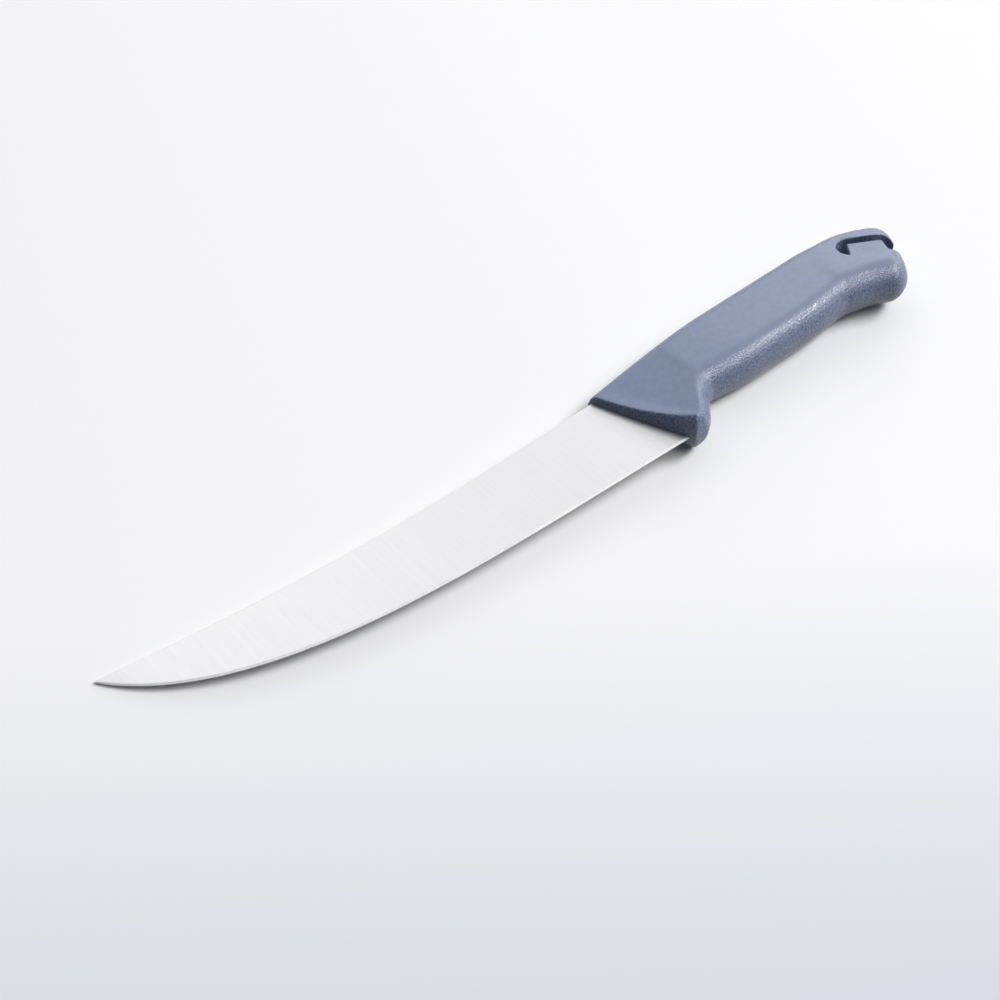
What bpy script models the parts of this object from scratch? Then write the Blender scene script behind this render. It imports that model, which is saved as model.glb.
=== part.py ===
"""Butcher knife: a sweeping blade with a hidden tang, in a moulded plastic handle with a hanging slot.

Metres, +Z up from the table. The knife lies on its side: +X runs from the tip to the butt, +Y from the
cutting edge to the spine. Each piece is drawn in the knife's own axes, where Z is the blade's thickness and
the zero is the handle's front point on the spine. The pieces hang on an empty that lays the knife down as it
lies in balance, on the blade's tip and on the handle's lower panel.
"""
import math

import bmesh
import bpy
import numpy as np
from mathutils import Matrix, Vector

# Blade
BLADE_LENGTH = 0.2018
SPINE_INSET = 0.0013
SWEEP_START = 0.045
TIP_RISE = 0.0125
HEEL_DEPTH = 0.0374
EDGE_HEEL_PULL = (-0.088, 0.0047)
EDGE_TIP_PULL = (0.0374, -0.0488)
STOCK = 0.0025
TIP_STOCK = 0.0014
BEVEL_WIDTH = 0.0011
BEVEL_STOCK = 0.0006
EDGE_STOCK = 0.00012
SPINE_CHAMFER = 0.00025
TIP_BLUNT = 0.0006
BLADE_STATIONS = 44
STATION_CROWD = 1.35

# Front face of the handle, which the blade runs into
FRONT_LEAN = 0.0168
FRONT_BULGE = 0.0011
FRONT_PLAN_RADIUS = 0.400
FRONT_SIDE_RADIUS = 0.0102
FRONT_SIDE_REACH = 0.0100
FRONT_STEPS = 12
FRONT_TURNS = 360
STEEL_INSET = 0.0030

# Tang
TANG_START = 0.0020
TANG_END = 0.106
TANG_TOP = 0.0040
TANG_ROOT_WIDTH = 0.0200
TANG_END_WIDTH = 0.0130
TANG_HOLE_RADIUS = 0.0032
TANG_HOLES = (0.042, 0.082)
CLEARANCE = 0.0003

# Handle: how far its outline reaches below and above the front point, and where along it
BACK_START = 0.0001
BACK_RISE = 0.0057
BACK_CURVE = 1.5
GUARD_DEPTH = 0.0393
GUARD_FOOT = 0.0044
GUARD_SWEEP = 0.0166
NECK_DEPTH = 0.0273
PALM_DEPTH = 0.0291
PALM_AT = 0.060
PALM_END = 0.088
WAIST_DEPTH = 0.0278
WAIST_AT = 0.1065
WAIST_SKEW = 0.0050
WAIST_LENGTH = 0.0030
SHOULDER_AT = 0.1235
SHOULDER_FALL = 0.0009

# Butt: it turns down from the handle's line, and ends square to its own line
BUTT_ANGLE = math.radians(31.0)
BUTT_START = (0.1274, -0.0061)
BUTT_LENGTH = 0.0253
BUTT_BACK = 0.0142
BUTT_BACK_SWELL = 0.0027
BUTT_BACK_CORNER = 0.0057
BUTT_BELLY = 0.0233
BUTT_BELLY_SWELL = 0.0031
BUTT_BELLY_CORNER = 0.0122
BUTT_ROUND = 0.0088
BUTT_TAPER = 0.10
BUTT_CLOSE = math.radians(86.0)

# Half thicknesses of the handle, at the spine side and at the belly side of its flat panels
FRONT_HALF_SPINE = 0.0044
FRONT_CROWN = 2.3
GUARD_HALF = 0.0092
NECK_HALF_BELLY = 0.0093
GRIP_HALF_SPINE = 0.0062
GRIP_HALF_BELLY = 0.0101
BUTT_HALF_BELLY = 0.0106

# Roundings between the panels. Softness 2 is half an ellipse, and 1 an arc that meets them at a corner
FRONT_ROUND = 0.0030
GUARD_ROUND = 0.0036
SPINE_ROUND = 0.0060
BELLY_ROUND = 0.0095
BUTT_BELLY_ROUND = 0.0116
GUARD_SOFTNESS = 1.15
SOFTNESS = 2.0

# Hanging slot, in the butt's own line
SLOT_LENGTH = 0.0240
SLOT_WIDTH = 0.0118
SLOT_START = -0.0008
SLOT_BELLY_SIDE = -0.0070
SLOT_CORNER = 0.0036
TONGUE_START = 0.0036
TONGUE_SLANT = 0.0014
TONGUE_LENGTH = 0.0159
TONGUE_GAP = 0.0024
TONGUE_EDGE_HALF = 0.0066
TONGUE_ROOT_HALF = 0.0087
MOUTH_START = 0.0012
MOUTH_WIDTH = 0.0054
MOUTH_FLARE = math.radians(66.0)

RING_STEPS = 4
SPINE_STEPS = 5
PANEL_STEPS = 3
BELLY_STEPS = 7
BUTT_STEPS = 6
SPARE = 0.0040
CUT_REACH = 0.030
SHARP = math.radians(32.0)
WELD = 0.00002
STEEPEST = 0.3

STEEL_DENSITY = 7750.0
PLASTIC_DENSITY = 950.0
STEEL_COLOUR = (0.78, 0.78, 0.79, 1.0)
PLASTIC_COLOUR = (0.235, 0.285, 0.400, 1.0)


def clear_scene():
    for old in list(bpy.data.objects):
        bpy.data.objects.remove(old, do_unlink=True)


def make_collection(name):
    group = bpy.data.collections.new(name)
    bpy.context.scene.collection.children.link(group)
    return group


def make_material(name, colour, roughness, metallic):
    material = bpy.data.materials.new(name)
    material.use_nodes = True
    shader = material.node_tree.nodes["Principled BSDF"]
    shader.inputs["Base Color"].default_value = colour
    shader.inputs["Roughness"].default_value = roughness
    shader.inputs["Metallic"].default_value = metallic
    material.diffuse_color = colour
    return material


def mesh_object(name, bm, group):
    bmesh.ops.recalc_face_normals(bm, faces=bm.faces)
    mesh = bpy.data.meshes.new(name)
    bm.to_mesh(mesh)
    bm.free()
    thing = bpy.data.objects.new(name, mesh)
    group.objects.link(thing)
    return thing


def loft(name, rings, group):
    """Skins closed rings of points, one after the other, and caps both ends."""
    bm = bmesh.new()
    rows = [[bm.verts.new(point) for point in ring] for ring in rings]
    count = len(rows[0])
    for row, following in zip(rows, rows[1:]):
        for i in range(count):
            j = (i + 1) % count
            bm.faces.new((row[i], row[j], following[j], following[i]))
    bm.faces.new(rows[0])
    bm.faces.new(rows[-1])
    return mesh_object(name, bm, group)


def prism(name, outlines, half_height, group):
    """A flat outline, and any holes in it, as a 2D curve with thickness, turned into a closed mesh."""
    curve = bpy.data.curves.new(name, "CURVE")
    curve.dimensions = "2D"
    curve.fill_mode = "BOTH"
    curve.extrude = half_height
    for outline in outlines:
        spline = curve.splines.new("POLY")
        spline.points.add(len(outline) - 1)
        for point, (x, y) in zip(spline.points, outline):
            point.co = (x, y, 0.0, 1.0)
        spline.use_cyclic_u = True
    drawn = bpy.data.objects.new(name, curve)
    group.objects.link(drawn)
    evaluated = drawn.evaluated_get(bpy.context.evaluated_depsgraph_get())
    mesh = bpy.data.meshes.new_from_object(evaluated)
    bpy.data.objects.remove(drawn)
    bm = bmesh.new()
    bm.from_mesh(mesh)
    bpy.data.meshes.remove(mesh)
    bmesh.ops.remove_doubles(bm, verts=bm.verts, dist=WELD)
    return mesh_object(name, bm, group)


def boolean(target, tool, operation):
    modifier = target.modifiers.new(tool.name, "BOOLEAN")
    modifier.operation = operation
    modifier.object = tool
    tool.hide_render = True
    tool.display_type = "WIRE"


def arc(centre, radius, start, end, steps):
    """Points of a round stretch, angles in degrees."""
    angles = [math.radians(start + (end - start) * i / steps) for i in range(steps + 1)]
    return [(centre[0] + radius * math.cos(a), centre[1] + radius * math.sin(a)) for a in angles]


def blade_spine(x):
    """Height of the blade's back: straight from the handle, then one long arc up to the tip."""
    run = -SWEEP_START - x
    if run <= 0.0:
        return -SPINE_INSET
    reach = BLADE_LENGTH - SWEEP_START
    rise = TIP_RISE + SPINE_INSET
    radius = (reach * reach + rise * rise) / (2.0 * rise)
    return -SPINE_INSET + radius - math.sqrt(radius * radius - run * run)


def blade_edge(t):
    """The cutting edge, from the heel at 0 to the tip at 1, as one cubic curve."""
    heel = Vector((front_x(HEEL_DEPTH) + STEEL_INSET, -HEEL_DEPTH))
    tip = Vector((-BLADE_LENGTH, TIP_RISE))
    heel_pull = heel + Vector(EDGE_HEEL_PULL)
    tip_pull = tip + Vector(EDGE_TIP_PULL)
    s = 1.0 - t
    return s**3 * heel + 3 * s * s * t * heel_pull + 3 * s * t * t * tip_pull + t**3 * tip


def front_x(depth):
    """Where the handle's front face is, near enough, at a depth below the front point."""
    return FRONT_LEAN * depth / GUARD_DEPTH


def blade_solid(name, grow, group):
    """The ground blade, from just inside the handle to the tip. grow widens it all round."""
    rings = []
    edge_length = blade_edge(0.0).x + BLADE_LENGTH
    for i in range(BLADE_STATIONS + 1):
        t = 1.0 - (1.0 - i / BLADE_STATIONS) ** STATION_CROWD
        edge = blade_edge(t)
        back_share = (edge.x + BLADE_LENGTH) / edge_length
        back_x = -BLADE_LENGTH + back_share * (BLADE_LENGTH + STEEL_INSET)
        back = Vector((back_x, blade_spine(back_x)))
        if (edge - back).length < TIP_BLUNT:
            break
        across = (edge - back).normalized()
        width = (edge - back).length
        stock = TIP_STOCK + (STOCK - TIP_STOCK) * back_share
        bevel = min(BEVEL_WIDTH, width / 3)
        chamfer = min(SPINE_CHAMFER, width / 8)
        shape = (
            (-grow, stock / 2 - chamfer),
            (chamfer, stock / 2),
            (width - bevel, BEVEL_STOCK / 2),
            (width + grow, EDGE_STOCK / 2),
        )
        upper = []
        for along, half in shape:
            spot = back + across * along
            upper.append((spot.x, spot.y, half + grow))
        rings.append(upper + [(x, y, -z) for x, y, z in reversed(upper)])
    rings[0] = [(x + grow, y, z) for x, y, z in rings[0]]
    return loft(name, rings, group)


def tang_solid(name, grow, group):
    """The tang: full stock, tapering towards a round end, with holes that lock the moulding."""
    end = TANG_END + grow
    middle = -TANG_TOP - TANG_ROOT_WIDTH / 2
    root_half = TANG_ROOT_WIDTH / 2 + grow
    end_half = TANG_END_WIDTH / 2 + grow
    outline = [(TANG_START + front_x(TANG_TOP + TANG_ROOT_WIDTH), middle - root_half)]
    outline += arc((end - end_half, middle), end_half, -90.0, 90.0, 10)
    outline += [(TANG_START + front_x(TANG_TOP), middle + root_half)]
    holes = [arc((x, middle), TANG_HOLE_RADIUS - grow, 0.0, 345.0, 23) for x in TANG_HOLES]
    return prism(name, [outline] + holes, STOCK / 2 + grow, group)


def smooth_values(values, steps):
    """Fills in between values, level where neighbours are alike and never past them."""
    slopes = [0.0]
    for before, here, after in zip(values, values[1:], values[2:]):
        left, right = here - before, after - here
        slopes.append(2 * left * right / (left + right) if left * right > 0 else 0.0)
    slopes[0] = 1.5 * (values[1] - values[0]) - 0.5 * slopes[1]
    slopes.append(1.5 * (values[-1] - values[-2]) - 0.5 * slopes[-1])
    filled = []
    for i in range(len(values) - 1):
        for k in range(steps):
            u = k / steps
            filled.append(
                values[i] * (1 + 2 * u) * (1 - u) ** 2
                + slopes[i] * u * (1 - u) ** 2
                + values[i + 1] * u * u * (3 - 2 * u)
                + slopes[i + 1] * u * u * (u - 1)
            )
    return filled + [values[-1]]


def butt_point(along, across):
    """A point in the butt's own line, along it and across it towards the spine, in the knife's axes."""
    c, s = math.cos(BUTT_ANGLE), math.sin(BUTT_ANGLE)
    x = BUTT_START[0] + along * c + across * s
    y = BUTT_START[1] - along * s + across * c
    return (x, y)


def back_point(x):
    """A point of the handle's back, which rises from the front point and is level from the palm on."""
    share = 1.0 - x / PALM_AT
    return (x, BACK_START + (BACK_RISE - BACK_START) * (1.0 - share**BACK_CURVE))


def guard_point(share):
    """A point of the guard's underside: level at its foot and level again at the neck."""
    climb = share * share * (3.0 - 2.0 * share)
    return (FRONT_LEAN + GUARD_FOOT + GUARD_SWEEP * share, (GUARD_DEPTH - NECK_DEPTH) * climb - GUARD_DEPTH)


def mixed(first, second, share):
    return tuple(a + (b - a) * share for a, b in zip(first, second))


def handle_stations():
    """Spine point, belly point, half thicknesses, crown, roundings and softness, from front to butt."""
    front = (FRONT_HALF_SPINE, GUARD_HALF, FRONT_CROWN, FRONT_ROUND, GUARD_ROUND, GUARD_SOFTNESS)
    neck = (GRIP_HALF_SPINE, NECK_HALF_BELLY, 1.0, SPINE_ROUND, BELLY_ROUND, SOFTNESS)
    grip = (GRIP_HALF_SPINE, GRIP_HALF_BELLY, 1.0, SPINE_ROUND, BELLY_ROUND, SOFTNESS)
    butt = (GRIP_HALF_SPINE, BUTT_HALF_BELLY, 1.0, SPINE_ROUND, BUTT_BELLY_ROUND, SOFTNESS)
    stations = [(back_point(-SPARE), (FRONT_LEAN - SPARE, -GUARD_DEPTH)) + front]
    for share in (0.0, 0.25, 0.5, 0.75, 1.0):
        back_x = GUARD_FOOT + share * (FRONT_LEAN + GUARD_SWEEP)
        stations.append((back_point(back_x), guard_point(share)) + mixed(front, neck, share))
    stations.append(((PALM_AT, BACK_RISE), (PALM_AT, -PALM_DEPTH)) + grip)
    stations.append(((PALM_END, BACK_RISE), (PALM_END, -PALM_DEPTH)) + grip)
    stations.append(((WAIST_AT + WAIST_SKEW, BACK_RISE), (WAIST_AT, -WAIST_DEPTH)) + grip)
    shoulder = (SHOULDER_AT, BACK_RISE - SHOULDER_FALL)
    stations.append((shoulder, (WAIST_AT + WAIST_LENGTH, -WAIST_DEPTH)) + butt)
    straight = BUTT_LENGTH - BUTT_ROUND
    for share in (0.0, 0.5, 1.0):
        back = butt_point(straight * share, BUTT_BACK - BUTT_BACK_SWELL * (1.0 - share) ** 2)
        belly = butt_point(straight * share, -BUTT_BELLY - BUTT_BELLY_SWELL * (1.0 - share) ** 2)
        stations.append((back, belly) + butt)
    return stations


def section_ring(spine, belly, half_spine, half_belly, crown, spine_round, belly_round, softness):
    """One closed section: two flat panels that lean together towards the spine, and two round ends."""
    spine, belly = Vector(spine), Vector(belly)
    across = (belly - spine).normalized()
    width = (belly - spine).length
    upper = []

    def add(distance, factor):
        share = distance / width
        half = (half_spine + (half_belly - half_spine) * share**crown) * factor
        spot = spine + across * distance
        upper.append((spot.x, spot.y, half))

    for i in range(SPINE_STEPS + 1):
        inset = 1.0 - math.cos(math.pi / 2 * i / SPINE_STEPS)
        add(spine_round * inset, math.sqrt(inset * (SOFTNESS - (SOFTNESS - 1.0) * inset)))
    flat = width - spine_round - belly_round
    for i in range(1, PANEL_STEPS):
        add(spine_round + flat * i / PANEL_STEPS, 1.0)
    for i in range(BELLY_STEPS + 1):
        inset = 1.0 - math.sin(math.pi / 2 * i / BELLY_STEPS)
        add(width - belly_round * inset, math.sqrt(inset * (softness - (softness - 1.0) * inset)))
    return upper + [(x, y, -z) for x, y, z in reversed(upper[1:-1])]


def butt_rings(last):
    """Closes the butt: the section narrows along a quarter round, in plan and in thickness."""
    rings = []
    straight = BUTT_LENGTH - BUTT_ROUND
    for i in range(1, BUTT_STEPS + 1):
        angle = BUTT_CLOSE * math.sin(math.pi / 2 * i / BUTT_STEPS)
        past = BUTT_ROUND * math.sin(angle)
        narrow = 1.0 - math.cos(angle)
        spine = butt_point(straight + past, BUTT_BACK - BUTT_BACK_CORNER * narrow)
        belly = butt_point(straight + past, BUTT_TAPER * past + BUTT_BELLY_CORNER * narrow - BUTT_BELLY)
        halves = (last[2] * math.cos(angle), last[3] * math.cos(angle))
        rings.append(section_ring(spine, belly, *halves, *last[4:]))
    return rings


def handle_body(name, group):
    stations = handle_stations()
    columns = []
    for station in stations:
        (sx, sy), (bx, by) = station[0], station[1]
        columns.append((sx, sy, bx, by) + tuple(station[2:]))
    filled = [smooth_values([row[k] for row in columns], RING_STEPS) for k in range(len(columns[0]))]
    rings = []
    for sx, sy, bx, by, *rest in zip(*filled):
        rings.append(section_ring((sx, sy), (bx, by), *rest))
    body = loft(name, rings + butt_rings(stations[-1]), group)
    body.data.shade_smooth()
    body.data.set_sharp_from_angle(angle=SHARP)
    return body


def front_cutter(name, group):
    """What lies ahead of the handle's front face: the inside of a wide turned ring, round in plan and across."""
    face_along = Vector((FRONT_LEAN, -GUARD_DEPTH)).normalized()
    inward = Vector((-face_along.y, face_along.x))
    centre = Vector((FRONT_LEAN, -GUARD_DEPTH)) / 2 + inward * (FRONT_PLAN_RADIUS - FRONT_BULGE)
    outer = FRONT_PLAN_RADIUS + CUT_REACH
    inner = FRONT_PLAN_RADIUS - FRONT_SIDE_RADIUS
    profile = [(outer, CUT_REACH), (outer, -CUT_REACH), (inner, -CUT_REACH)]
    for i in range(FRONT_STEPS + 1):
        z = FRONT_SIDE_REACH * (2.0 * i / FRONT_STEPS - 1.0)
        profile.append((inner + math.sqrt(FRONT_SIDE_RADIUS**2 - z * z), z))
    profile.append((inner, CUT_REACH))
    count = len(profile)
    mesh = bpy.data.meshes.new(name)
    loop = [(i, (i + 1) % count) for i in range(count)]
    mesh.from_pydata([(r, 0.0, z) for r, z in profile], loop, [])
    ring = bpy.data.objects.new(name, mesh)
    group.objects.link(ring)
    ring.location = (centre.x, centre.y, 0.0)
    ring.rotation_euler.z = math.atan2(inward.y, inward.x)
    turned = ring.modifiers.new("turned", "SCREW")
    turned.steps = FRONT_TURNS
    turned.render_steps = FRONT_TURNS
    turned.use_merge_vertices = True
    turned.merge_threshold = 0.0001
    turned.use_smooth_shade = False
    return ring


def slot_frame(along, across):
    return butt_point(SLOT_START + along, SLOT_BELLY_SIDE + across)


def grown(outline, margin):
    """A four-cornered outline, its ends and its far side moved outwards."""
    (x0, y0), (x1, y1), (x2, y2), (x3, y3) = outline
    return [(x0 - margin, y0), (x1 - margin, y1 + margin), (x2 + margin, y2 + margin), (x3 + margin, y3)]


def tongue_outline():
    """The tongue, which stands in the slot from its belly side; its front end leans back."""
    end = TONGUE_START + TONGUE_LENGTH
    edge = SLOT_WIDTH - TONGUE_GAP
    return [(TONGUE_START, 0.0), (TONGUE_START + TONGUE_SLANT, edge), (end, edge), (end, 0.0)]


def channel_outline():
    """What stays open right through: the front hole, the gap round the tongue and the mouth at the rear."""
    half = SLOT_WIDTH / 2
    past = SLOT_LENGTH + SPARE
    rear = (SLOT_LENGTH - SLOT_CORNER, SLOT_WIDTH - SLOT_CORNER)
    mouth_end = MOUTH_START + MOUTH_WIDTH
    points = arc((half, half), half, 90.0, 246.0, 12) + tongue_outline()[:3]
    points += [(TONGUE_START + TONGUE_LENGTH, MOUTH_START), (past, MOUTH_START)]
    points += [(past, mouth_end + SPARE * math.tan(MOUTH_FLARE)), (SLOT_LENGTH, mouth_end)]
    return points + arc(rear, SLOT_CORNER, 0.0, 90.0, 6)


def tongue_cutter(name, side, group):
    """The slope over the tongue on one side: it starts at the panel and sinks towards the hook."""
    outline = [slot_frame(x, y) for x, y in grown(tongue_outline(), CLEARANCE)]
    cutter = prism(name, [outline], CUT_REACH / 2, group)
    root = Vector(slot_frame(0.0, 0.0))
    towards = Vector((math.sin(BUTT_ANGLE), math.cos(BUTT_ANGLE)))
    fall = (TONGUE_ROOT_HALF - TONGUE_EDGE_HALF) / (SLOT_WIDTH - TONGUE_GAP)
    for vertex in cutter.data.vertices:
        distance = (Vector(vertex.co[:2]) - root).dot(towards)
        if vertex.co.z * side < 0:
            vertex.co.z = side * (TONGUE_ROOT_HALF - fall * distance)
    return cutter


def solid_weight(piece, density):
    """Corners of a piece, its mass, and its mass times its middle."""
    depsgraph = bpy.context.evaluated_depsgraph_get()
    mesh = bpy.data.meshes.new_from_object(piece.evaluated_get(depsgraph))
    mesh.calc_loop_triangles()
    corners = np.array([vertex.co for vertex in mesh.vertices])
    triangles = corners[np.array([triangle.vertices for triangle in mesh.loop_triangles])]
    bpy.data.meshes.remove(mesh)
    masses = density * np.linalg.det(triangles) / 6.0
    return corners, masses.sum(), masses @ triangles.sum(axis=1) / 4.0


def peak(height, low, high):
    """Where a function with one top is highest."""
    for _ in range(60):
        left, right = low + (high - low) / 3.0, high - (high - low) / 3.0
        if height(left) < height(right):
            low = left
        else:
            high = right
    return (low + high) / 2.0


def lay_down(pieces, densities, name):
    """Hangs the pieces on an empty that lays them on the table, with the box's middle over the zero.

    Of all planes that touch the knife from below, it lies on the one that is highest under its balance point.
    """
    weights = [solid_weight(piece, density) for piece, density in zip(pieces, densities)]
    corners = np.vstack([weight[0] for weight in weights])
    balance = sum(weight[2] for weight in weights) / sum(weight[1] for weight in weights)

    def plane_height(along, across):
        slopes = np.array((along, across))
        return (corners[:, 2] - corners[:, :2] @ slopes).min() + balance[:2] @ slopes

    def best_along(across):
        return peak(lambda along: plane_height(along, across), -STEEPEST, STEEPEST)

    across = peak(lambda slope: plane_height(best_along(slope), slope), -STEEPEST, STEEPEST)
    along = best_along(across)
    roll = math.atan2(-across, 1.0)
    pitch = math.atan2(along, math.hypot(across, 1.0))
    turn = Matrix.Rotation(pitch, 3, "Y") @ Matrix.Rotation(roll, 3, "X")
    laid = corners @ np.array(turn).T
    low, high = laid.min(axis=0), laid.max(axis=0)
    rest = bpy.data.objects.new(name, None)
    bpy.context.scene.collection.objects.link(rest)
    rest.rotation_euler = (roll, pitch, 0.0)
    rest.location = (-(low[0] + high[0]) / 2, -(low[1] + high[1]) / 2, -low[2])
    return rest


def build():
    clear_scene()
    parts = make_collection("butcher_knife")
    cutters = make_collection("cutters")
    steel = make_material("satin_steel", STEEL_COLOUR, 0.32, 1.0)
    plastic = make_material("slate_plastic", PLASTIC_COLOUR, 0.5, 0.0)

    blade = blade_solid("blade", 0.0, parts)
    boolean(blade, tang_solid("tang", 0.0, cutters), "UNION")

    handle = handle_body("handle", parts)
    boolean(handle, front_cutter("front_cut", cutters), "DIFFERENCE")
    boolean(handle, blade_solid("blade_room", CLEARANCE, cutters), "DIFFERENCE")
    boolean(handle, tang_solid("tang_room", CLEARANCE, cutters), "DIFFERENCE")
    boolean(handle, tongue_cutter("tongue_slope_upper", 1, cutters), "DIFFERENCE")
    boolean(handle, tongue_cutter("tongue_slope_lower", -1, cutters), "DIFFERENCE")
    channel = [slot_frame(x, y) for x, y in channel_outline()]
    boolean(handle, prism("channel_cut", [channel], CUT_REACH, cutters), "DIFFERENCE")

    blade.data.materials.append(steel)
    handle.data.materials.append(plastic)
    rest = lay_down((blade, handle), (STEEL_DENSITY, PLASTIC_DENSITY), "rest_pose")
    for thing in list(parts.objects) + list(cutters.objects):
        thing.parent = rest


build()
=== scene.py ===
"""A butcher knife on a pale table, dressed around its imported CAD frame. Metres, +Z up.

The knife lies on its side: +X runs from the tip to the butt, and +Y from the cutting edge to the spine.
"""

import math

import bpy
from mathutils import Euler, Matrix, Vector


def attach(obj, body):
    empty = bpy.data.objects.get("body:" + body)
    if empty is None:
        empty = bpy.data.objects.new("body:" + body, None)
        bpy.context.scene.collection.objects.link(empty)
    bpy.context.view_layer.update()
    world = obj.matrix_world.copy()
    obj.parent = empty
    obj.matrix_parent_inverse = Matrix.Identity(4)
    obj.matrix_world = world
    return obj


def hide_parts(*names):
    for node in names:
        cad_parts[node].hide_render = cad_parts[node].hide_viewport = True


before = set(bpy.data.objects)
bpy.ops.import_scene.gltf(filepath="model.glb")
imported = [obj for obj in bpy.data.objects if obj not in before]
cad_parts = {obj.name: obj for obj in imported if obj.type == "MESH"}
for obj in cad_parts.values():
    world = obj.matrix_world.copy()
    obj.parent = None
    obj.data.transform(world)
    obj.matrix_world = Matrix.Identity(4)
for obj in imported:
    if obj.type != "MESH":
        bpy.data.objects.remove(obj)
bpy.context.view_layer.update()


# Camera: a short telephoto lens half a metre from the table. It looks down on the knife from beyond the tip and
# from the side of the cutting edge, as in the photograph.
bpy.ops.object.camera_add(
    location=(-0.26120, -0.24440, 0.42916),
    rotation=[math.radians(a) for a in (38.301, -2.561, -40.136)],
)
camera = bpy.context.object
camera.data.sensor_width = 36.0
camera.data.lens = 55.8
bpy.context.scene.camera = camera


# Blade: one blank of 2.5 mm stainless steel, ground flat on both sides to a narrow cutting bevel and thinner
# towards the tip, with its back corners broken on the belt. The blank runs on into the handle as a flat tang with
# two holes, which the plastic fills. Drawn flat, with the zero at the handle's front point on the spine.
BLADE_LENGTH = 0.2018
# The back: how far it lies below the handle's front point, where it turns up to the tip and by how much it rises,
# and how far it runs into the handle
SPINE_INSET = 0.0013
SWEEP_START = 0.045
TIP_RISE = 0.0125
BACK_END = 0.0030
# The cutting edge: a curve from heel to tip, drawn by a pull at each end
HEEL = Vector((0.0190, -0.0374))
HEEL_PULL = Vector((-0.088, 0.0047))
TIP = Vector((-BLADE_LENGTH, TIP_RISE))
TIP_PULL = Vector((0.0374, -0.0488))
# Across the blade: thicknesses from back to edge, and the slope that a side never passes, which thins the tip
STOCK = 0.0025
TIP_STOCK = 0.0014
STEEPEST_SIDE = 0.05
BEVEL_STOCK = 0.0006
EDGE_STOCK = 0.00010
BEVEL_WIDTH = 0.0011
BACK_CORNER = 0.00030
# Near the tip the corner is at most an eighth of the blade's width, and the bevel a third.
CORNER_PART = 8.0
BEVEL_PART = 3.0
CORNER_STEPS = 3
FLAT_STEPS = 6
BEVEL_STEPS = 2
BLADE_COLUMNS = 150
# The last column stands just short of the tip's own point, which keeps it inside the CAD's box.
TIP_END = 0.9939
# The tang: a tapered flat with a round end and two holes
TANG_END = 0.106
TANG_MIDDLE = -0.0140
TANG_ROOT_HALF = 0.0100
TANG_END_HALF = 0.0065
TANG_TOP_START = 0.0037
TANG_BELLY_START = 0.0123
TANG_END_STEPS = 20
TANG_HOLES = (0.042, 0.082)
TANG_HOLE_RADIUS = 0.0032
HOLE_SIDES = 32
BLADE_CREASE = 8.0
# How the knife lies: on its tip and on the handle's lower side, which tips the flat by about six degrees.
LYING = Matrix.Translation((0.023595, 0.013392, 0.005856)) @ Euler((-0.103407, -0.019339, 0.0)).to_matrix().to_4x4()


def choose(piece):
    """Makes one piece the active object and the only selected one."""
    bpy.ops.object.select_all(action="DESELECT")
    bpy.context.view_layer.objects.active = piece
    piece.select_set(True)


def edit(piece):
    """Edit mode on one piece, with all of it selected."""
    choose(piece)
    bpy.ops.object.mode_set(mode="EDIT")
    bpy.ops.mesh.select_all(action="SELECT")


def select_open_rims():
    """Selects the edges that have a face on one side only."""
    bpy.ops.mesh.select_mode(type="EDGE")
    bpy.ops.mesh.select_all(action="DESELECT")
    bpy.ops.mesh.select_non_manifold(extend=False, use_wire=False, use_boundary=True, use_multi_face=False)


def leave_facing_out():
    """Turns the fronts of all faces outwards and leaves edit mode."""
    bpy.ops.mesh.select_all(action="SELECT")
    bpy.ops.mesh.normals_make_consistent(inside=False)
    bpy.ops.object.mode_set(mode="OBJECT")


def finish_with(piece, kind, **settings):
    """One modifier, set and applied."""
    choose(piece)
    bpy.ops.object.modifier_add(type=kind)
    modifier = piece.modifiers[-1]
    for name, value in settings.items():
        setattr(modifier, name, value)
    bpy.ops.object.modifier_apply(modifier=modifier.name)


def carve(piece, tool, operation="DIFFERENCE"):
    """Cuts with a tool or joins it on, and puts the tool away."""
    finish_with(piece, "BOOLEAN", object=tool, operation=operation, solver="EXACT")
    bpy.data.objects.remove(tool)


def plate(outline, low, high):
    """A flat blank: a small disc pulled to the outline, then drawn up from low to high."""
    bpy.ops.mesh.primitive_circle_add(vertices=len(outline), radius=0.01, fill_type="NGON")
    blank = bpy.context.object
    for vertex, (x, y) in zip(blank.data.vertices, outline):
        vertex.co = (x, y, low)
    edit(blank)
    bpy.ops.mesh.extrude_region_move(TRANSFORM_OT_translate={"value": (0.0, 0.0, high - low)})
    leave_facing_out()
    return blank


def blade_back(x):
    """Height of the back: straight from the handle, then one long arc up to the tip."""
    run = max(0.0, -SWEEP_START - x)
    reach, rise = BLADE_LENGTH - SWEEP_START, TIP_RISE + SPINE_INSET
    radius = (reach * reach + rise * rise) / (2.0 * rise)
    return radius - SPINE_INSET - math.sqrt(radius * radius - run * run)


def blade_edge(t):
    """The cutting edge, from the heel at 0 to the tip at 1."""
    s = 1.0 - t
    return s**3 * HEEL + 3 * s * s * t * (HEEL + HEEL_PULL) + 3 * s * t * t * (TIP + TIP_PULL) + t**3 * TIP


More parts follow.
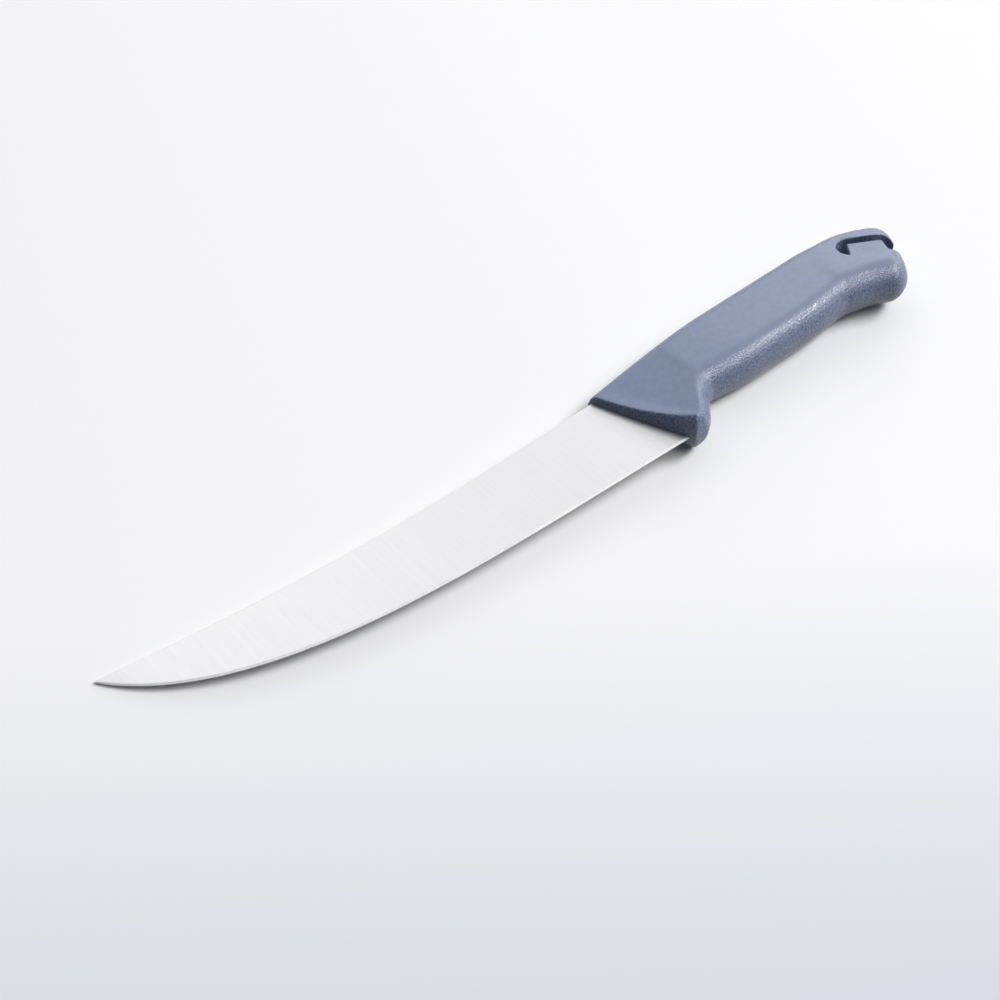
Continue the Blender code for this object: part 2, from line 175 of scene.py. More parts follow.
def blade_section(t):
    """Points across the upper side at one place, from the back to the edge, as (x, y, half thickness)."""
    edge = blade_edge(t)
    share = (edge.x + BLADE_LENGTH) / (HEEL.x + BLADE_LENGTH)
    x = share * (BLADE_LENGTH + BACK_END) - BLADE_LENGTH
    back = Vector((x, blade_back(x)))
    width = (edge - back).length
    across = (edge - back) / width
    stock = (TIP_STOCK + (STOCK - TIP_STOCK) * share) / 2.0
    stock = min(stock, BEVEL_STOCK / 2.0 + STEEPEST_SIDE * width)
    corner = min(BACK_CORNER, width / CORNER_PART)
    bevel = min(BEVEL_WIDTH, width / BEVEL_PART)
    points = []
    for i in range(CORNER_STEPS):
        turn = math.pi / 2 * i / CORNER_STEPS
        points.append((corner * (1.0 - math.cos(turn)), stock - corner * (1.0 - math.sin(turn))))
    for i in range(FLAT_STEPS + 1):
        u = i / FLAT_STEPS
        points.append((corner + (width - bevel - corner) * u, stock + (BEVEL_STOCK / 2.0 - stock) * u))
    for i in range(1, BEVEL_STEPS + 1):
        u = i / BEVEL_STEPS
        points.append((width - bevel * (1.0 - u), (BEVEL_STOCK + (EDGE_STOCK - BEVEL_STOCK) * u) / 2.0))
    return [(*(back + across * along), half) for along, half in points]


rows = CORNER_STEPS + FLAT_STEPS + BEVEL_STEPS
bpy.ops.mesh.primitive_grid_add(x_subdivisions=BLADE_COLUMNS, y_subdivisions=rows, size=1.0)
blade = bpy.context.object
blade.name = "blade_steel"
for vertex in blade.data.vertices:
    t = TIP_END * (vertex.co.x + 0.5)
    vertex.co = blade_section(t)[round(rows * (vertex.co.y + 0.5))]
edit(blade)
bpy.ops.mesh.duplicate()
bpy.ops.transform.resize(value=(1.0, 1.0, -1.0), center_override=(0.0, 0.0, 0.0))
select_open_rims()
bpy.ops.mesh.bridge_edge_loops()
leave_facing_out()

tang_outline = [(TANG_BELLY_START, TANG_MIDDLE - TANG_ROOT_HALF)]
for i in range(TANG_END_STEPS + 1):
    turn = math.pi * (i / TANG_END_STEPS - 0.5)
    tang_outline.append(
        (TANG_END - TANG_END_HALF * (1.0 - math.cos(turn)), TANG_MIDDLE + TANG_END_HALF * math.sin(turn))
    )
tang_outline.append((TANG_TOP_START, TANG_MIDDLE + TANG_ROOT_HALF))
tang = plate(tang_outline, -STOCK / 2.0, STOCK / 2.0)
for x in TANG_HOLES:
    bpy.ops.mesh.primitive_cylinder_add(
        vertices=HOLE_SIDES, radius=TANG_HOLE_RADIUS, depth=3 * STOCK, location=(x, TANG_MIDDLE, 0.0)
    )
    carve(tang, bpy.context.object)
carve(blade, tang, "UNION")

# The moulding's pocket is cut later with a slightly thicker copy of the finished blank.
choose(blade)
bpy.ops.object.duplicate()
pocket = bpy.context.object
pocket.name = "pocket_tool"


def settle(piece, crease, node):
    """Lays a finished piece down as the knife lies, shades it and hands it over in its CAD node's place."""
    piece.data.transform(LYING)
    choose(piece)
    bpy.ops.object.shade_smooth_by_angle(angle=math.radians(crease))
    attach(piece, "root")
    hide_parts(node)


def add_node(tree, kind, links=(), **settings):
    """A node with its settings. links are (socket, value or source socket)."""
    made = tree.nodes.new(kind)
    for name, value in settings.items():
        setattr(made, name, value)
    for socket, source in links:
        if isinstance(source, bpy.types.NodeSocket):
            tree.links.new(source, made.inputs[socket])
        else:
            made.inputs[socket].default_value = source
    return made


def knife_axes(tree):
    """Object coordinates turned back into the knife's own axes, so that a pattern follows the blank."""
    object_place = add_node(tree, "ShaderNodeTexCoord").outputs["Object"]
    links = [("Vector", object_place), ("Location", LYING.to_translation()), ("Rotation", LYING.to_euler())]
    return add_node(tree, "ShaderNodeMapping", links, vector_type="TEXTURE").outputs["Vector"]


def stretched_noise(tree, place, scale, detail, roughness=0.5):
    """Noise whose cells are 1/scale metres along each of the knife's axes."""
    spread = add_node(tree, "ShaderNodeMapping", [("Vector", place), ("Scale", scale)])
    links = [("Vector", spread.outputs[0]), ("Scale", 1.0), ("Detail", detail), ("Roughness", roughness)]
    return add_node(tree, "ShaderNodeTexNoise", links).outputs["Fac"]


def between(tree, value, start, end, low=0.0, high=1.0):
    """A value remapped from start..end to low..high, and held there."""
    links = [("Value", value), ("From Min", start), ("From Max", end), ("To Min", low), ("To Max", high)]
    return add_node(tree, "ShaderNodeMapRange", links).outputs["Result"]


def by_share(tree, share, low, high):
    """low where the share is 0, high where it is 1, and between them in between."""
    return between(tree, share, 0.0, 1.0, low, high)


def blend(tree, share, first, second):
    """Two colours mixed by a share. The node's sockets for colours are its inputs 6 and 7 and its output 2."""
    mixed = add_node(tree, "ShaderNodeMix", [("Factor", share)], data_type="RGBA")
    for socket, colour in zip(mixed.inputs[6:8], (first, second)):
        if isinstance(colour, bpy.types.NodeSocket):
            tree.links.new(colour, socket)
        else:
            socket.default_value = (*colour, 1.0)
    return mixed.outputs[2]


def reckon(tree, operation, *values):
    """One step of arithmetic. MULTIPLY_ADD takes a value, its factor and what is added."""
    return add_node(tree, "ShaderNodeMath", enumerate(values), operation=operation).outputs[0]


def start_group(name, out_name):
    """A shader node group that takes a place on the surface and puts out one mask."""
    group = bpy.data.node_groups.new(name, "ShaderNodeTree")
    group.interface.new_socket(name="Place", in_out="INPUT", socket_type="NodeSocketVector")
    group.interface.new_socket(name=out_name, in_out="OUTPUT", socket_type="NodeSocketFloat")
    return group, group.nodes.new("NodeGroupInput").outputs["Place"], group.nodes.new("NodeGroupOutput").inputs[0]


# Lines that the belt leaves across a ground face, a fifth of a millimetre apart, in bands of some deeper ones.
# Scales are counts per metre along the blade, across it and through it. Each pair says where in its noise a mask
# begins and where it is full, here and for the masks that follow.
FINE_LINES = (5200.0, 70.0, 70.0)
LINE_BANDS = (640.0, 9.0, 9.0)
BAND_SHARE = 0.45
LINE_DEPTH = 0.0000007
LINES_SHOWN = (0.50, 0.95)
ground_lines, place, out = start_group("ground_lines", "Lines")
fine = stretched_noise(ground_lines, place, FINE_LINES, detail=3.0, roughness=0.65)
bands = stretched_noise(ground_lines, place, LINE_BANDS, detail=2.0)
lines = reckon(ground_lines, "MULTIPLY_ADD", bands, BAND_SHARE, fine)
ground_lines.links.new(between(ground_lines, lines, *LINES_SHOWN), out)

# Faint clouds, a few centimetres wide, that wiping and handling leave on steel and plastic alike.
CLOUDS = (26.0, 44.0, 44.0)
CLOUDS_SHOWN = (0.38, 0.66)
wiped_clouds, place, out = start_group("wiped_clouds", "Clouds")
clouds = stretched_noise(wiped_clouds, place, CLOUDS, detail=4.0, roughness=0.6)
wiped_clouds.links.new(between(wiped_clouds, clouds, *CLOUDS_SHOWN), out)


def use_group(tree, group, place):
    return add_node(tree, "ShaderNodeGroup", [("Place", place)], node_tree=group).outputs[0]


CLOUDS_ON_STEEL = 0.30


def ground_steel(name, darker, lighter, smoothest, roughest, turn):
    """Ground stainless steel. turn is how far the lines lean from straight across the blade."""
    made = bpy.data.materials.new(name)
    made.use_nodes = True
    tree = made.node_tree
    shader = tree.nodes["Principled BSDF"]
    shader.inputs["Metallic"].default_value = 1.0
    place = knife_axes(tree)
    leaning = add_node(tree, "ShaderNodeMapping", [("Vector", place), ("Rotation", (0.0, 0.0, turn))])
    lines = use_group(tree, ground_lines, leaning.outputs[0])
    clouds = use_group(tree, wiped_clouds, place)
    tree.links.new(blend(tree, lines, darker, lighter), shader.inputs["Base Color"])
    polished = reckon(tree, "MULTIPLY_ADD", clouds, CLOUDS_ON_STEEL, lines)
    roughness = between(tree, polished, 0.0, 1.0 + CLOUDS_ON_STEEL, low=roughest, high=smoothest)
    tree.links.new(roughness, shader.inputs["Roughness"])
    relief = add_node(tree, "ShaderNodeBump", [("Height", lines), ("Strength", 1.0), ("Distance", LINE_DEPTH)])
    tree.links.new(relief.outputs["Normal"], shader.inputs["Normal"])
    return made


satin = ground_steel(
    "satin_steel", darker=(0.70, 0.70, 0.705), lighter=(0.75, 0.75, 0.75), smoothest=0.27, roughest=0.36, turn=0.0
)
honed = ground_steel(
    "honed_edge", darker=(0.64, 0.64, 0.645), lighter=(0.72, 0.72, 0.72), smoothest=0.66, roughest=0.80, turn=0.5
)
blade.data.materials.clear()
for steel in (satin, honed):
    blade.data.materials.append(steel)

# The bevel is all that is thinner than its own upper line, with a little room for rounding errors.
BEVEL_TOP = BEVEL_STOCK / 2.0 + 0.000002
for face in blade.data.polygons:
    if all(abs(blade.data.vertices[corner].co.z) < BEVEL_TOP for corner in face.vertices):
        face.material_index = 1
settle(blade, BLADE_CREASE, "blade")
finish_with(blade, "WEIGHTED_NORMAL", keep_sharp=True, weight=100)


# Handle: one moulding of slate-blue plastic round the tang. A guard with a swept front face, two flat panels that
# lean together towards the back, a full round belly, and a butt that turns down and carries a hanging slot.
# The back's rise from the front point to the palm
BACK_START = 0.0001
BACK_RISE = 0.0057
BACK_CURVE = 1.5
# The guard: how far its foot lies behind the front point and below it, and its sweep up to the neck
FRONT_LEAN = 0.0168
GUARD_DEPTH = 0.0393
GUARD_FOOT = 0.0044
GUARD_SWEEP = 0.0166
NECK_DEPTH = 0.0273
# The grip's belly: full in the palm, and a waist before the butt
PALM_AT = 0.060
PALM_END = 0.088
PALM_DEPTH = 0.0291
WAIST_AT = 0.1065
WAIST_DEPTH = 0.0278
WAIST_SKEW = 0.0050
WAIST_LENGTH = 0.0030
SHOULDER = (0.1235, 0.0048)
# The butt, in its own line: a straight part with swelling sides, closed by a round
BUTT_ANGLE = math.radians(31.0)
BUTT_START = Vector((0.1274, -0.0061))
BUTT_STRAIGHT = 0.0165
BUTT_ROUND = 0.0088
BUTT_BACK = 0.0142
BUTT_BACK_SWELL = 0.0027
BUTT_BACK_CORNER = 0.0057
BUTT_BELLY = 0.0233
BUTT_BELLY_SWELL = 0.0031
BUTT_BELLY_CORNER = 0.0122
BUTT_TAPER = 0.10
BUTT_CLOSE = math.radians(86.0)
# How far shapes run past the front face and the butt, where they are cut away
OVERRUN = 0.0040
HANDLE_CREASE = 40.0
WELD = 0.000001
# Half thickness at the back and at the belly, crown, roundings at the back and belly, softness of the belly's round
FRONT_SECTION = (0.0044, 0.0092, 2.3, 0.0030, 0.0036, 1.15)
NECK_SECTION = (0.0062, 0.0093, 1.0, 0.0060, 0.0095, 2.0)
GRIP_SECTION = (0.0062, 0.0101, 1.0, 0.0060, 0.0095, 2.0)
BUTT_SECTION = (0.0062, 0.0106, 1.0, 0.0060, 0.0116, 2.0)
BACK_STEPS = 8
PANEL_STEPS = 8
BELLY_STEPS = 12
RING_STEPS = 9
BUTT_STEPS = 12


def back_point(x):
    """The back rises from the front point and is level from the palm on."""
    return x, BACK_START + (BACK_RISE - BACK_START) * (1.0 - (1.0 - x / PALM_AT) ** BACK_CURVE)


def butt_point(along, across):
    """A point in the butt's own line, along it and across it towards the back."""
    c, s = math.cos(BUTT_ANGLE), math.sin(BUTT_ANGLE)
    return BUTT_START.x + along * c + across * s, BUTT_START.y - along * s + across * c


def blended(values, steps):
    """Fills in steps between values with cubic pieces, which never run past a value that tops its neighbours."""
    slopes = [0.0]
    for before, here, after in zip(values, values[1:], values[2:]):
        left, right = here - before, after - here
        slopes.append(2 * left * right / (left + right) if left * right > 0 else 0.0)
    # At both ends the curve starts as a parabola does.
    slopes[0] = 1.5 * (values[1] - values[0]) - 0.5 * slopes[1]
    slopes.append(1.5 * (values[-1] - values[-2]) - 0.5 * slopes[-1])
    filled = []
    for i in range(len(values) - 1):
        for k in range(steps):
            u = k / steps
            start = values[i] * (1 + 2 * u) * (1 - u) ** 2 + slopes[i] * u * (1 - u) ** 2
            filled.append(start + values[i + 1] * u * u * (3 - 2 * u) + slopes[i + 1] * u * u * (u - 1))
    return filled + [values[-1]]


def handle_ring(back_x, back_y, belly_x, belly_y, half_back, half_belly, crown, back_round, belly_round, softness):
    """One closed section: two flat panels and two round ends, from the back down one side and up the other."""
    back, belly = Vector((back_x, back_y)), Vector((belly_x, belly_y))
    width = (belly - back).length
    across = (belly - back) / width
    # Places from the back to the belly, each with its share of the full half thickness
    spots = []
    for i in range(BACK_STEPS + 1):
        inset = 1.0 - math.cos(math.pi / 2 * i / BACK_STEPS)
        spots.append((back_round * inset, math.sqrt(inset * (2.0 - inset))))
    for i in range(1, PANEL_STEPS):
        spots.append((back_round + (width - back_round - belly_round) * i / PANEL_STEPS, 1.0))
    for i in range(BELLY_STEPS + 1):
        inset = 1.0 - math.sin(math.pi / 2 * i / BELLY_STEPS)
        spots.append((width - belly_round * inset, math.sqrt(inset * (softness - (softness - 1.0) * inset))))
    side = []
    for along, factor in spots:
        half = half_back + (half_belly - half_back) * (along / width) ** crown
        side.append((*(back + across * along), half * factor))
    return side + [(x, y, -z) for x, y, z in reversed(side[1:-1])]


stations = [(*back_point(-OVERRUN), FRONT_LEAN - OVERRUN, -GUARD_DEPTH, *FRONT_SECTION)]
for share in (0.0, 0.25, 0.5, 0.75, 1.0):
    climb = share * share * (3.0 - 2.0 * share)
    section = [a + (b - a) * share for a, b in zip(FRONT_SECTION, NECK_SECTION)]
    foot = (FRONT_LEAN + GUARD_FOOT + GUARD_SWEEP * share, (GUARD_DEPTH - NECK_DEPTH) * climb - GUARD_DEPTH)
    stations.append((*back_point(GUARD_FOOT + share * (FRONT_LEAN + GUARD_SWEEP)), *foot, *section))
for x in (PALM_AT, PALM_END):
    stations.append((x, BACK_RISE, x, -PALM_DEPTH, *GRIP_SECTION))
stations.append((WAIST_AT + WAIST_SKEW, BACK_RISE, WAIST_AT, -WAIST_DEPTH, *GRIP_SECTION))
stations.append((*SHOULDER, WAIST_AT + WAIST_LENGTH, -WAIST_DEPTH, *BUTT_SECTION))
for share in (0.0, 0.5, 1.0):
    back = butt_point(BUTT_STRAIGHT * share, BUTT_BACK - BUTT_BACK_SWELL * (1.0 - share) ** 2)
    belly = butt_point(BUTT_STRAIGHT * share, -BUTT_BELLY - BUTT_BELLY_SWELL * (1.0 - share) ** 2)
    stations.append((*back, *belly, *BUTT_SECTION))
rings = [handle_ring(*values) for values in zip(*(blended(column, RING_STEPS) for column in zip(*stations)))]
for i in range(1, BUTT_STEPS + 1):
    angle = BUTT_CLOSE * math.sin(math.pi / 2 * i / BUTT_STEPS)
    past, narrow = BUTT_STRAIGHT + BUTT_ROUND * math.sin(angle), 1.0 - math.cos(angle)
    back = butt_point(past, BUTT_BACK - BUTT_BACK_CORNER * narrow)
    belly = butt_point(past, BUTT_TAPER * (past - BUTT_STRAIGHT) + BUTT_BELLY_CORNER * narrow - BUTT_BELLY)
    thin = [value * math.cos(angle) for value in BUTT_SECTION[:2]]
    rings.append(handle_ring(*back, *belly, *thin, *BUTT_SECTION[2:]))

around = len(rings[0])
bpy.ops.mesh.primitive_grid_add(x_subdivisions=len(rings) - 1, y_subdivisions=around, size=1.0)
handle = bpy.context.object
handle.name = "handle_moulding"
for vertex in handle.data.vertices:
    ring = rings[round((len(rings) - 1) * (vertex.co.x + 0.5))]
    vertex.co = ring[round(around * (vertex.co.y + 0.5)) % around]
edit(handle)
bpy.ops.mesh.remove_doubles(threshold=WELD)
select_open_rims()
bpy.ops.mesh.edge_face_add()
leave_facing_out()

# The front face is the nose of a wide turned ring, so a strip with that nose's curve is spun past the handle. A
# spin turns clockwise here, so the strip starts at the other end.
FACE_RADIUS = 0.400
FACE_BULGE = 0.0011
NOSE_RADIUS = 0.0102
NOSE_REACH = 0.0100
face_along = Vector((FRONT_LEAN, -GUARD_DEPTH)).normalized()
face_in = Vector((-face_along.y, face_along.x))
face_centre = Vector((FRONT_LEAN, -GUARD_DEPTH)) / 2.0 + face_in * (FACE_RADIUS - FACE_BULGE)
FACE_STRIPS = 32
FACE_SWEEP = math.radians(12.0)
FACE_STEPS = 48
CUT_REACH = 0.030
first = Matrix.Rotation(FACE_SWEEP / 2.0, 2) @ -face_in
bpy.ops.mesh.primitive_grid_add(x_subdivisions=FACE_STRIPS + 2, y_subdivisions=1, size=1.0)
face_tool = bpy.context.object
for vertex in face_tool.data.vertices:
    step = round((FACE_STRIPS + 2) * (vertex.co.x + 0.5)) - 1
    z = NOSE_REACH * (2.0 * step / FACE_STRIPS - 1.0)
    radius = FACE_RADIUS - NOSE_RADIUS
    if 0 <= step <= FACE_STRIPS:
        radius += math.sqrt(NOSE_RADIUS**2 - z * z)
    else:
        z = math.copysign(CUT_REACH, z)
    if vertex.co.y > 0.0:
        radius = FACE_RADIUS + CUT_REACH
    vertex.co = (*(face_centre + first * radius), z)
edit(face_tool)
bpy.ops.mesh.spin(
    steps=FACE_STEPS, dupli=False, angle=FACE_SWEEP, center=(*face_centre, 0.0), axis=(0.0, 0.0, 1.0)
)
bpy.ops.mesh.select_all(action="SELECT")
bpy.ops.mesh.remove_doubles(threshold=WELD)
leave_facing_out()
carve(handle, face_tool)

# The hanging slot: open right through round a tongue, which stands in it from the belly side and slopes away on
# both sides, and open to the rear through a mouth.
SLOT_START = -0.0008
SLOT_BELLY_SIDE = -0.0070
SLOT_LENGTH = 0.0240
SLOT_WIDTH = 0.0118
SLOT_CORNER = 0.0036
SLOT_FRONT_TURN = 156.0
SLOT_FRONT_STEPS = 24
SLOT_CORNER_STEPS = 12
TONGUE_START = 0.0036
TONGUE_SLANT = 0.0014
TONGUE_END = 0.0195
TONGUE_HEIGHT = 0.0094
TONGUE_EDGE_HALF = 0.0066
TONGUE_ROOT_HALF = 0.0087
TONGUE_MARGIN = 0.0003
MOUTH_START = 0.0012
MOUTH_END = 0.0066
MOUTH_FLARE = math.radians(66.0)


def slot_point(along, across):
    return butt_point(SLOT_START + along, SLOT_BELLY_SIDE + across)


for side in (1.0, -1.0):
    slope = [
        (TONGUE_START - TONGUE_MARGIN, 0.0),
        (TONGUE_START + TONGUE_SLANT - TONGUE_MARGIN, TONGUE_HEIGHT + TONGUE_MARGIN),
        (TONGUE_END + TONGUE_MARGIN, TONGUE_HEIGHT + TONGUE_MARGIN),
        (TONGUE_END + TONGUE_MARGIN, 0.0),
    ]
    slope_tool = plate([slot_point(*spot) for spot in slope], 0.0, CUT_REACH / 2.0)
    root, towards = Vector(slot_point(0.0, 0.0)), Vector((math.sin(BUTT_ANGLE), math.cos(BUTT_ANGLE)))
    for vertex in slope_tool.data.vertices:
        share = (vertex.co.xy - root).dot(towards) / TONGUE_HEIGHT
        if vertex.co.z < CUT_REACH / 4.0:
            vertex.co.z = TONGUE_ROOT_HALF + (TONGUE_EDGE_HALF - TONGUE_ROOT_HALF) * share
        vertex.co.z *= side
    # The mirrored tool would be inside out.
    edit(slope_tool)
    leave_facing_out()
    carve(handle, slope_tool)

# The channel's outline: round the front end, along the tongue, out through the mouth and round the rear corner
channel = []
for i in range(SLOT_FRONT_STEPS + 1):
    turn = math.radians(90.0 + SLOT_FRONT_TURN * i / SLOT_FRONT_STEPS)
    channel.append((SLOT_WIDTH / 2 * (1.0 + math.cos(turn)), SLOT_WIDTH / 2 * (1.0 + math.sin(turn))))
channel += [
    (TONGUE_START, 0.0),
    (TONGUE_START + TONGUE_SLANT, TONGUE_HEIGHT),
    (TONGUE_END, TONGUE_HEIGHT),
    (TONGUE_END, MOUTH_START),
    (SLOT_LENGTH + OVERRUN, MOUTH_START),
    (SLOT_LENGTH + OVERRUN, MOUTH_END + OVERRUN * math.tan(MOUTH_FLARE)),
    (SLOT_LENGTH, MOUTH_END),
]
for i in range(SLOT_CORNER_STEPS + 1):
    turn = math.pi / 2 * i / SLOT_CORNER_STEPS
    along = SLOT_LENGTH - SLOT_CORNER + SLOT_CORNER * math.cos(turn)
    channel.append((along, SLOT_WIDTH - SLOT_CORNER + SLOT_CORNER * math.sin(turn)))
carve(handle, plate([slot_point(*spot) for spot in channel], -CUT_REACH, CUT_REACH))

# A mould leaves every rim slightly round, so the moulding is remeshed finely and eased, and then cut for the tang.
RIM = 0.00045
RIM_PASSES = 4
POCKET_CLEARANCE = 0.00004
finish_with(handle, "REMESH", mode="VOXEL", voxel_size=RIM, adaptivity=0.0, use_smooth_shade=True)
finish_with(handle, "SMOOTH", factor=0.5, iterations=RIM_PASSES)
finish_with(pocket, "DISPLACE", strength=POCKET_CLEARANCE, mid_level=0.0, direction="NORMAL")
carve(handle, pocket)

# Slate-blue plastic. Its panels came from smooth mould walls, and all that is round or stands square to them from
# walls with an eroded grain. The grain's share is kept on the mesh, by how far a face is turned from the panels.
# These are the upright parts of its direction, in the knife's own axes, where the grain begins and where it is full.
GRAIN_FROM = 0.985
GRAIN_TO = 0.925
handle.data.attributes.new("grain_share", "FLOAT", "POINT")
for vertex, share in zip(handle.data.vertices, handle.data.attributes["grain_share"].data):
    share.value = min(1.0, max(0.0, (GRAIN_FROM - abs(vertex.normal.z)) / (GRAIN_FROM - GRAIN_TO)))

SLATE_DARK = (0.112, 0.148, 0.250)
SLATE_LIGHT = (0.206, 0.258, 0.392)
SLATE_TONES = (0.20, 0.92)
SLATE_SPECULAR = 0.75
PITS = (1500.0,) * 3
PITS_SHOWN = (0.37, 0.63)
MOTTLE = (420.0,) * 3
MOTTLE_SHOWN = (0.35, 0.65)
MOTTLE_SHARE = 0.12
# Pointiness at which the rims' painted highlight begins and where it is full.
RIM_HIGHLIGHT_SHOWN = (0.515, 0.560)
PANEL_SPECKLE = 0.08
GRAIN_SPECKLE = 0.85
# How far the rims' painted highlight goes towards the light slate.
RIM_HIGHLIGHT_SHARE = 0.35
PANEL_BRIGHTEST = 0.34
PANEL_DULLEST = 0.42
GRAIN_BRIGHTEST = 0.15
GRAIN_DULLEST = 0.26
CLOUDS_ON_PLASTIC = 0.4
GRAIN_DEPTH = 0.00010
PANEL_HEIGHT = 0.05
PARTING_HALF = 0.00010
PARTING_HEIGHT = 0.8
slate = bpy.data.materials.new("slate_plastic")
slate.use_nodes = True
tree = slate.node_tree
shader = tree.nodes["Principled BSDF"]
shader.inputs["Specular IOR Level"].default_value = SLATE_SPECULAR
place = knife_axes(tree)
grain_share = add_node(tree, "ShaderNodeAttribute", attribute_name="grain_share").outputs["Fac"]
clouds = use_group(tree, wiped_clouds, place)
pits = between(tree, stretched_noise(tree, place, PITS, detail=2.0, roughness=0.55), *PITS_SHOWN)
mottle = between(tree, stretched_noise(tree, place, MOTTLE, detail=3.0), *MOTTLE_SHOWN)
bent = add_node(tree, "ShaderNodeNewGeometry").outputs["Pointiness"]
# Painted highlight: the rounded rims are picked out by their pointiness, to be painted lighter.
painted_rim_highlight = between(tree, bent, *RIM_HIGHLIGHT_SHOWN)

# Colour: pits are darker and the tips between them lighter, more so in the grain, and the rims are painted lighter,
# a painted highlight along the rounded edges.
speckle = reckon(tree, "SUBTRACT", pits, 0.5)
speckle_share = by_share(tree, grain_share, PANEL_SPECKLE, GRAIN_SPECKLE)
tone = reckon(tree, "MULTIPLY_ADD", speckle, speckle_share, 0.5)
tone = reckon(tree, "MULTIPLY_ADD", mottle, MOTTLE_SHARE, tone)
skin = blend(tree, between(tree, tone, *SLATE_TONES), SLATE_DARK, SLATE_LIGHT)
# The rims' painted highlight lightens them towards the light slate.
rim_highlight_share = by_share(tree, painted_rim_highlight, 0.0, RIM_HIGHLIGHT_SHARE)
tree.links.new(blend(tree, rim_highlight_share, skin, SLATE_LIGHT), shader.inputs["Base Color"])

# Sheen: the tips are polished by use, and wiped clouds vary it.
polished = reckon(tree, "MULTIPLY_ADD", clouds, CLOUDS_ON_PLASTIC, pits)
dullest = by_share(tree, grain_share, PANEL_DULLEST, GRAIN_DULLEST)
brightest = by_share(tree, grain_share, PANEL_BRIGHTEST, GRAIN_BRIGHTEST)
roughness = between(tree, polished, 0.0, 1.0 + CLOUDS_ON_PLASTIC, low=dullest, high=brightest)
tree.links.new(roughness, shader.inputs["Roughness"])

# Relief: the grain, a much fainter skin on the panels, and the line where the mould's halves met.
height_share = by_share(tree, grain_share, PANEL_HEIGHT, 1.0)
grain = reckon(tree, "MULTIPLY", pits, height_share)
from_middle = add_node(tree, "ShaderNodeSeparateXYZ", [("Vector", place)]).outputs["Z"]
from_middle = reckon(tree, "ABSOLUTE", from_middle)
seam = between(tree, from_middle, 0.0, PARTING_HALF, low=PARTING_HEIGHT, high=0.0)
height = reckon(tree, "ADD", grain, seam)
relief = add_node(tree, "ShaderNodeBump", [("Height", height), ("Strength", 1.0), ("Distance", GRAIN_DEPTH)])
tree.links.new(relief.outputs["Normal"], shader.inputs["Normal"])
handle.data.materials.clear()
handle.data.materials.append(slate)
settle(handle, HANDLE_CREASE, "handle")


# Table: a plain pale sheet with a slight fall of tone towards the camera, as in the photograph, which is painted
# shade where the light falls off. The camera and reflections see its own tone. It throws less light back up, so that
# the knife's undersides stay dark.
TABLE_WIDTH = 8.0
TABLE_SEEN = (0.940, 0.940, 0.952)
# The colour of the painted shade nearest the camera.
TABLE_SHADED_NEAR = (0.64, 0.66, 0.74)
TABLE_BOUNCE = (0.30, 0.30, 0.31)
# The painted shade deepens against this direction, between these places along it.
TABLE_SHADE_FADE = (0.515, 0.857, 0.0)
SHADE_FULL_AT = -0.25
SHADE_STARTS_AT = -0.05


def seen_directly(tree):
    """1 for the camera, for reflections and through glass, and 0 for plain light."""
    path = add_node(tree, "ShaderNodeLightPath").outputs
    seen = path["Is Camera Ray"]
    for other in ("Is Glossy Ray", "Is Transmission Ray"):
        seen = reckon(tree, "MAXIMUM", seen, path[other])
    return seen


def distance_along(tree, place, direction):
    """How far a place lies along a direction."""
    links = [(0, place), (1, direction)]
    return add_node(tree, "ShaderNodeVectorMath", links, operation="DOT_PRODUCT").outputs["Value"]


bpy.ops.mesh.primitive_plane_add(size=TABLE_WIDTH)
table = bpy.context.object
table.name = "table"
table_paint = bpy.data.materials.new("pale_table")
table_paint.use_nodes = True
tree = table_paint.node_tree
shader = tree.nodes["Principled BSDF"]
shader.inputs["Roughness"].default_value = 0.9
shader.inputs["Specular IOR Level"].default_value = 0.0
place = add_node(tree, "ShaderNodeTexCoord").outputs["Object"]
# Painted shade: the sheet turns darker and bluer towards the camera.
unshaded_share = between(tree, distance_along(tree, place, TABLE_SHADE_FADE), SHADE_FULL_AT, SHADE_STARTS_AT)
sheet = blend(tree, unshaded_share, TABLE_SHADED_NEAR, TABLE_SEEN)
tree.links.new(blend(tree, seen_directly(tree), TABLE_BOUNCE, sheet), shader.inputs["Base Color"])
table.data.materials.append(table_paint)


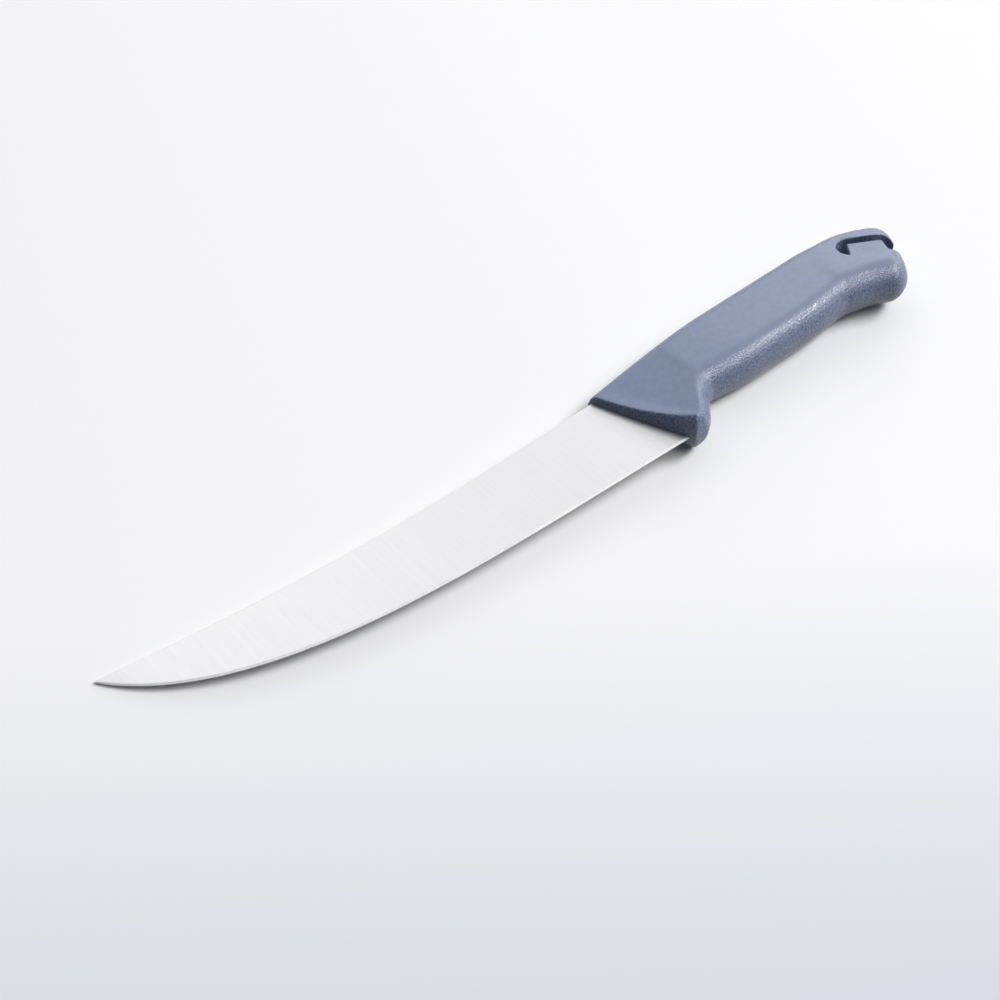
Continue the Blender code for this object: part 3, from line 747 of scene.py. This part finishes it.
# Light: a wide softbox far out on the butt's side carries most of it and draws the band along the belly. Three weak
# ones lift the table behind, the guard and the handle's top. Past the knife the room is white, and dim elsewhere.
SOFTBOXES = (
    # Name, heading in degrees from the spine's side, height in degrees, distance, size, watts
    ("side_softbox", 110.0, 47.0, 7.0, (2.8, 2.6), 342.0),
    ("back_softbox", 2.0, 46.0, 2.2, (1.6, 1.0), 1.8),
    ("low_softbox", 58.0, 23.0, 2.2, (1.4, 0.5), 7.0),
    ("top_softbox", 150.0, 58.0, 3.3, (1.6, 1.6), 26.0),
)
ROOM_TONE = (0.98, 0.98, 1.0, 1.0)
# Strengths: what the far side gives as plain light, and what the near side shows in reflections
ROOM_FILL = 0.50
ROOM_NEAR = 0.05
# The far side's direction, and where along it the room turns from dim to white
ROOM_BEYOND = (0.687, 0.727, 0.0)
ROOM_DIM = -0.30
ROOM_WHITE = 0.40
for name, heading, height, distance, size, power in SOFTBOXES:
    lamp_data = bpy.data.lights.new(name, "AREA")
    lamp_data.shape = "RECTANGLE"
    lamp_data.size, lamp_data.size_y = size
    lamp_data.energy = power
    lamp = bpy.data.objects.new(name, lamp_data)
    bpy.context.scene.collection.objects.link(lamp)
    turn, lift = math.radians(heading), math.radians(height)
    way = Vector((math.sin(turn) * math.cos(lift), math.cos(turn) * math.cos(lift), math.sin(lift)))
    lamp.location = way * distance
    lamp.rotation_euler = way.to_track_quat("Z", "Y").to_euler()

room = bpy.data.worlds.new("room")
bpy.context.scene.world = room
room.use_nodes = True
tree = room.node_tree
sky = tree.nodes["Background"]
sky.inputs["Color"].default_value = ROOM_TONE
path = add_node(tree, "ShaderNodeLightPath").outputs
way_out = add_node(tree, "ShaderNodeTexCoord").outputs["Generated"]
beyond = between(tree, distance_along(tree, way_out, ROOM_BEYOND), ROOM_DIM, ROOM_WHITE)
mirrored = by_share(tree, beyond, ROOM_NEAR, 1.0)
fill = by_share(tree, beyond, 0.0, ROOM_FILL)
shiny = reckon(tree, "MAXIMUM", path["Is Glossy Ray"], path["Is Transmission Ray"])
level = add_node(tree, "ShaderNodeMix", [("Factor", shiny), ("A", fill), ("B", mirrored)]).outputs[0]
level = reckon(tree, "MAXIMUM", level, path["Is Camera Ray"])
tree.links.new(level, sky.inputs["Strength"])

bpy.context.scene.view_settings.view_transform = "Standard"
